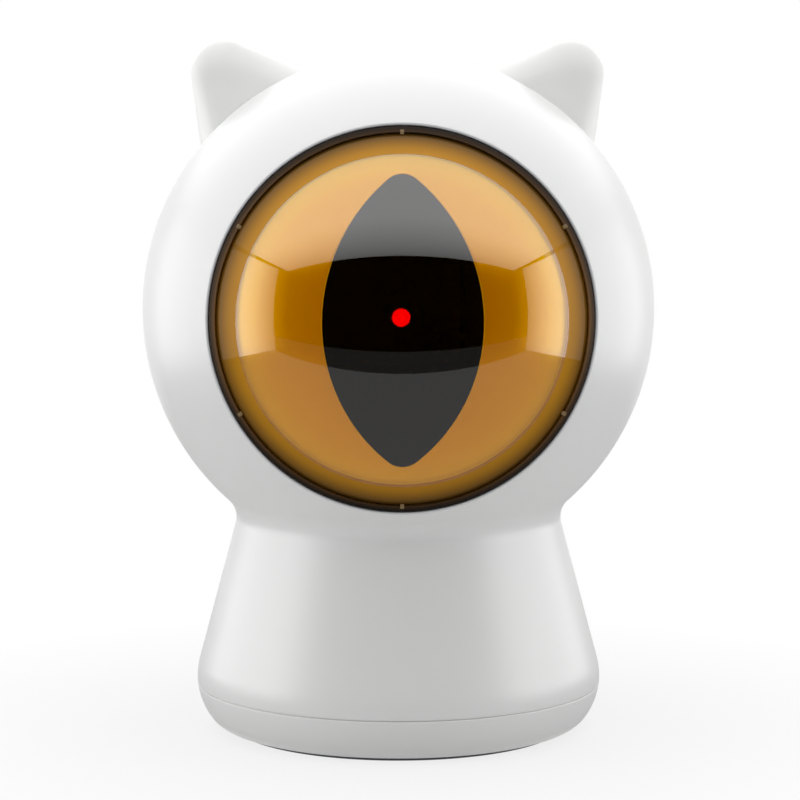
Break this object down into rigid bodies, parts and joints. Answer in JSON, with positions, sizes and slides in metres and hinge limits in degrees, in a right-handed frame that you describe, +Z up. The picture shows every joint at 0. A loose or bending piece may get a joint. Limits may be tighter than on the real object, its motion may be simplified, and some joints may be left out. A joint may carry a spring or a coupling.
{
  "type": "automatic cat laser toy",
  "caption": "Round cat-faced pet toy on a tapered base: an amber slit-pupil eye covers a laser on a gear-driven pan and tilt gimbal; battery door below, power button behind.",
  "frame": {"origin": "on the surface the toy stands on, at the middle of its foot ring", "axes": "+Z up, the eye looks along -Y, +X to the right of someone who looks at the eye"},
  "size_m": [0.08, 0.0797, 0.1082],
  "materials": {
    "shell_white": "smooth satin gloss moulding",
    "ear_white": "smooth satin moulding",
    "foot_rubber": "soft matte",
    "bezel_black": "gloss",
    "lens_amber": "clear tinted, polished",
    "iris_gold": "metallised satin gold",
    "pupil_smoke": "dark tinted, polished",
    "holder_black": "matte moulding",
    "chassis_grey": "matte moulding",
    "gear_ivory": "smooth self-lubricating plastic",
    "pinion_brass": "cut, bright",
    "barrel_brass": "turned satin",
    "laser_red": "clear red, lit",
    "screw_steel": "zinc plated",
    "motor_steel": "drawn steel can",
    "contact_nickel": "nickel plated",
    "cell_wrap": "printed sleeve on a metal can",
    "board_green": "solder mask",
    "chip_black": "moulded epoxy",
    "socket_cream": "matte moulding",
    "capacitor_blue": "sleeved can",
    "led_clear": "clear moulding",
    "lead_red": "flexible sheath",
    "lead_black": "flexible sheath"
  },
  "bodies": {
    "body": {"front_shell": "shell_white", "rear_shell": "shell_white", "left_ear": "ear_white", "right_ear": "ear_white", "housing_screws": "screw_steel", "base_cap": "shell_white", "base_screws": "screw_steel", "foot_ring": "foot_rubber", "battery_holder": "holder_black", "holder_screws": "screw_steel", "cell_contacts": "contact_nickel", "aaa_cell_1": "cell_wrap", "aaa_cell_2": "cell_wrap", "aaa_cell_3": "cell_wrap", "eye_bezel": "bezel_black", "eye_lens": "lens_amber", "iris_reflector": "iris_gold", "pupil_window": "pupil_smoke", "lens_retainer": "holder_black", "retainer_screws": "screw_steel", "mech_chassis": "chassis_grey", "chassis_screws": "screw_steel", "pan_motor": "motor_steel", "pan_motor_screws": "screw_steel", "pan_washer": "screw_steel", "pan_screw": "screw_steel", "main_board": "board_green", "control_chip": "chip_black", "board_sockets": "socket_cream", "capacitors": "capacitor_blue", "board_screws": "screw_steel", "tact_switch": "chip_black", "status_led": "led_clear", "light_pipe": "led_clear", "usb_board": "board_green", "usb_socket": "contact_nickel", "usb_screws": "screw_steel", "battery_leads": "lead_red", "usb_leads": "lead_black", "pan_motor_leads": "lead_black"},
    "door": {"battery_door": "shell_white", "door_contacts": "contact_nickel"},
    "yoke": {"pan_gear": "gear_ivory", "pan_yoke": "chassis_grey", "tilt_motor": "motor_steel", "tilt_motor_screws": "screw_steel"},
    "pan_drive": {"pan_pinion": "pinion_brass"},
    "cradle": {"tilt_gear": "gear_ivory", "laser_cradle": "chassis_grey", "laser_barrel": "barrel_brass", "laser_lens": "laser_red", "laser_driver": "board_green"},
    "tilt_drive": {"tilt_pinion": "pinion_brass"},
    "button": {"power_button": "shell_white"}
  },
  "joints": [
    {"name": "door_turn", "type": "hinge", "parent": "body", "child": "door", "pos_m": [0, 0, 0], "axis": [0, 0, 1], "range_deg": [0, 45]},
    {"name": "pan", "type": "hinge", "parent": "body", "child": "yoke", "pos_m": [0, -0.01, 0], "axis": [0, 0, 1], "range_deg": [-20, 20]},
    {"name": "pan_pinion_spin", "type": "hinge", "parent": "body", "child": "pan_drive", "pos_m": [0, -0.021, 0], "axis": [0, 0, 1], "range_deg": [-54, 54]},
    {"name": "tilt", "type": "hinge", "parent": "yoke", "child": "cradle", "pos_m": [0, -0.01, 0.066], "axis": [1, 0, 0], "range_deg": [-15, 25]},
    {"name": "tilt_pinion_spin", "type": "hinge", "parent": "yoke", "child": "tilt_drive", "pos_m": [0, -0.00096, 0.06173], "axis": [1, 0, 0], "range_deg": [-59, 36]},
    {"name": "button_press", "type": "slide", "parent": "body", "child": "button", "axis": [0, -1, 0], "range_m": [0, 0.0005], "stiffness_N_per_m": 400, "springref_m": -0.001}
  ],
  "couplings": [
    {"joint": "pan_pinion_spin", "follows": "pan", "ratio": -2.6667},
    {"joint": "tilt_pinion_spin", "follows": "tilt", "ratio": -2.3333}
  ]
}
